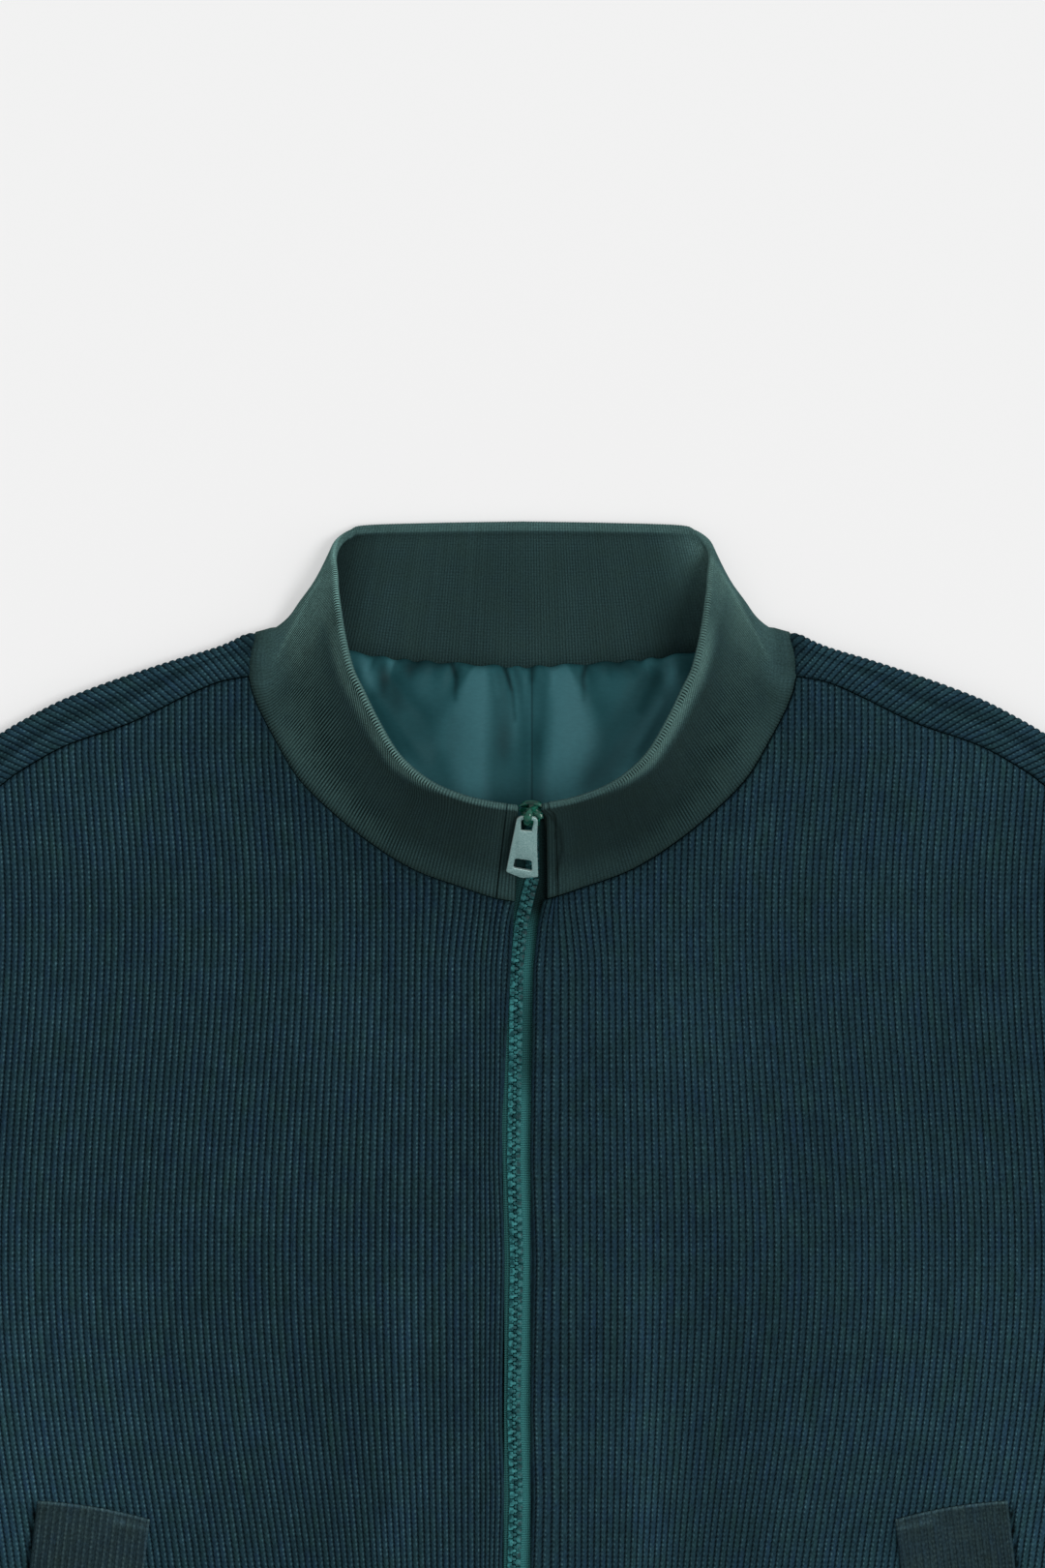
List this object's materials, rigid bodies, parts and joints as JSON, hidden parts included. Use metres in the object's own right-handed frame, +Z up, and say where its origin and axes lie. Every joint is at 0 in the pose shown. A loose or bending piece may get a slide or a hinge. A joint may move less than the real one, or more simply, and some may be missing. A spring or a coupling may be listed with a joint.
{
  "type": "velvet track jacket",
  "caption": "Zipped track jacket of ribbed velvet with a stand collar, cuffs and hem in rib knit, slanted welt pockets, laid out flat face up",
  "frame": {"origin": "on the surface that the jacket lies on, under the middle of its outline", "axes": "+X to the viewer's right across the sleeves, +Y up the garment from hem to collar, +Z up from the surface, out of the front"},
  "size_m": [1.1896, 0.7068, 0.0412],
  "materials": {
    "velvet": "ribbed chenille velvet, deep petrol, vertical ribs with a soft pile sheen",
    "rib_knit": "fine rib knit, dark green-grey, matt",
    "lining": "teal satin lining with a soft sheen",
    "zip_tape": "woven zip tape, teal",
    "zip_teeth": "moulded acetal zip teeth, teal",
    "slider_paint": "green painted die-cast slider",
    "tab_metal": "light grey-teal satin metal pull tab"
  },
  "bodies": {
    "jacket": {"back": "velvet", "front_left": "velvet", "front_right": "velvet", "sleeve_left": "velvet", "sleeve_right": "velvet", "pocket_welt_left": "velvet", "pocket_welt_right": "velvet", "collar": "rib_knit", "collar_end_left": "rib_knit", "collar_end_right": "rib_knit", "cuff_left": "rib_knit", "cuff_right": "rib_knit", "hem_rib": "rib_knit", "back_lining": "lining", "zip_tape_left": "zip_tape", "zip_tape_right": "zip_tape", "zip_chain": "zip_teeth", "zip_slider": "slider_paint"},
    "pull_tab": {"pull_tab": "tab_metal"}
  },
  "joints": [
    {"name": "tab_hinge", "type": "hinge", "parent": "jacket", "child": "pull_tab", "pos_m": [0.00328, 0.2312, 0.03701], "axis": [-0.9954, 0.0756, 0.0589], "range_deg": [0, 165]}
  ]
}
